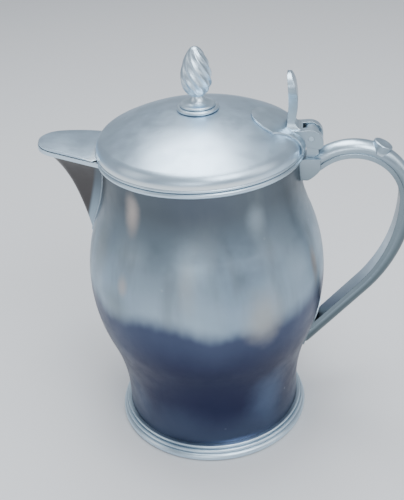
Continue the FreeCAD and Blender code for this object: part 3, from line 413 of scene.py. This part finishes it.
# ---------------------------------------------------------------- dressing the nodes

def dress(node, material):
    for slot in frame["nodes"][node].material_slots:
        slot.material = material


def dress_all():
    """Give every CAD node the finish of its material slot."""
    finishes = {
        "pewter_body": pewter("pewter_body", (0.36, 0.46, 0.55, 1), (0.30, 0.39, 0.47, 1),
                              (0.34, 0.44), body_tone_and_painted_light),
        "pewter_lid": pewter("pewter_lid", (0.62, 0.77, 0.91, 1), (0.55, 0.70, 0.84, 1),
                             (0.32, 0.40), lid_rim_painted_highlight),
        "pewter_cast": pewter("pewter_cast", (0.70, 0.85, 0.97, 1), (0.56, 0.70, 0.82, 1),
                              (0.3, 0.4), handle_painted_shade),
        "hinge_and_fixings": pewter("dull_fixings", (0.52, 0.64, 0.73, 1), (0.46, 0.57, 0.65, 1),
                                    (0.38, 0.5)),
    }
    for subpart in frame["record"]["subparts"]:
        dress(subpart["node"], finishes[subpart["material_slot"]])
    return finishes


# ---------------------------------------------------------------- fluted finial

# Lengths in mm, except where they are read from the frame.
FLUTES = 10
FLUTE_STEPS = 10      # points across one flute
FLUTE_DEPTH = 1.0     # at the egg's widest
FLUTE_TAPER = 1.3     # power by which a flute gets shallower as the egg narrows
FLUTE_FADE = 2.5      # length over which the flutes run out at either end
FLUTE_TWIST = 0.085   # radians that a ridge turns for each mm that it falls
EGG_ROWS = 72
EGG_WIDEST = 9.5      # above the egg's foot
EGG_TIP = 4.2         # radius of the rounded tip
EGG_HEEL = 6.6        # radius of the rounded foot
EGG_NECK = 3.6        # radius where it stands on the collar


def egg_flank(wide, reach, end):
    """Radius of the egg's side, and how high its run into an end stands from the widest part."""
    curve = (wide ** 2 + reach ** 2 - end ** 2) / (2 * (wide - end))
    return curve, reach * curve / (curve - end)


def egg_radius(height, wide, length):
    """Radius of the egg at a height above its foot."""
    if height > EGG_WIDEST:
        end = EGG_TIP
        reach = length - EGG_WIDEST - EGG_TIP
    else:
        end = EGG_HEEL
        reach = EGG_WIDEST - math.sqrt(EGG_HEEL ** 2 - EGG_NECK ** 2)
    curve, meet = egg_flank(wide, reach, end)
    rise = abs(height - EGG_WIDEST)
    if rise < meet:
        return wide - curve + math.sqrt(curve ** 2 - rise ** 2)
    return math.sqrt(max(end ** 2 - (rise - reach) ** 2, 0))


def fluted_egg():
    """The wrythen egg: sharp ridges that wind down between hollow flutes, bored for its stud."""
    low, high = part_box("finial_egg")
    foot = low[2]
    length = (high[2] - foot) / MM
    wide = (high[0] - low[0]) / 2 / MM
    stud_low, stud_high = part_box("finial_stud")
    bore = (stud_high[0] - stud_low[0]) / 2 / MM
    bore_top = (stud_high[2] - foot) / MM
    count = FLUTES * FLUTE_STEPS
    mesh = bmesh.new()

    def ring(radius, height, fluted):
        """A ring of points; fluted is the share of the flutes' depth, 0 for a plain circle."""
        points = []
        for number in range(count):
            angle = 2 * math.pi * number / count - FLUTE_TWIST * height
            hollow = math.sin(math.pi * (number % FLUTE_STEPS) / FLUTE_STEPS)
            reach = radius - fluted * FLUTE_DEPTH * hollow * (radius / wide) ** FLUTE_TAPER
            points.append(mesh.verts.new((
                reach * math.cos(angle) * MM, reach * math.sin(angle) * MM, foot + height * MM)))
        return points

    def bridge(first, second):
        """Faces between two rings."""
        for number in range(count):
            follower = (number + 1) % count
            mesh.faces.new((first[number], first[follower], second[follower], second[number]))

    def close(points, height, order):
        """A cap from a ring to a point on the axis."""
        pole = mesh.verts.new((0, 0, foot + height * MM))
        for number in range(count):
            pair = (points[number], points[(number + 1) % count])
            mesh.faces.new((*pair[::order], pole))

    rings = [ring(bore, bore_top, 0), ring(bore, 0, 0)]
    for row in range(EGG_ROWS):
        height = length * (1 - math.cos(math.pi * row / EGG_ROWS)) / 2
        fade = min(1, height / FLUTE_FADE, (length - height) / FLUTE_FADE)
        rings.append(ring(egg_radius(height, wide, length), height, fade))
    for first, second in zip(rings, rings[1:]):
        bridge(first, second)
    close(rings[0], bore_top, -1)
    close(rings[-1], length, 1)
    bmesh.ops.recalc_face_normals(mesh, faces=mesh.faces)
    data = bpy.data.meshes.new("finial_fluted_egg")
    mesh.to_mesh(data)
    mesh.free()
    data.shade_smooth()
    egg = bpy.data.objects.new("finial_fluted_egg", data)
    bpy.context.scene.collection.objects.link(egg)
    return egg


def add_finial(finishes):
    """The fluted egg in place of the plain one, turning with the lid."""
    egg = fluted_egg()
    egg.data.materials.append(finishes["pewter_cast"])
    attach(egg, "lid")
    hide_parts("finial_egg")


add_camera()
add_lights()
add_floor()
add_finial(dress_all())
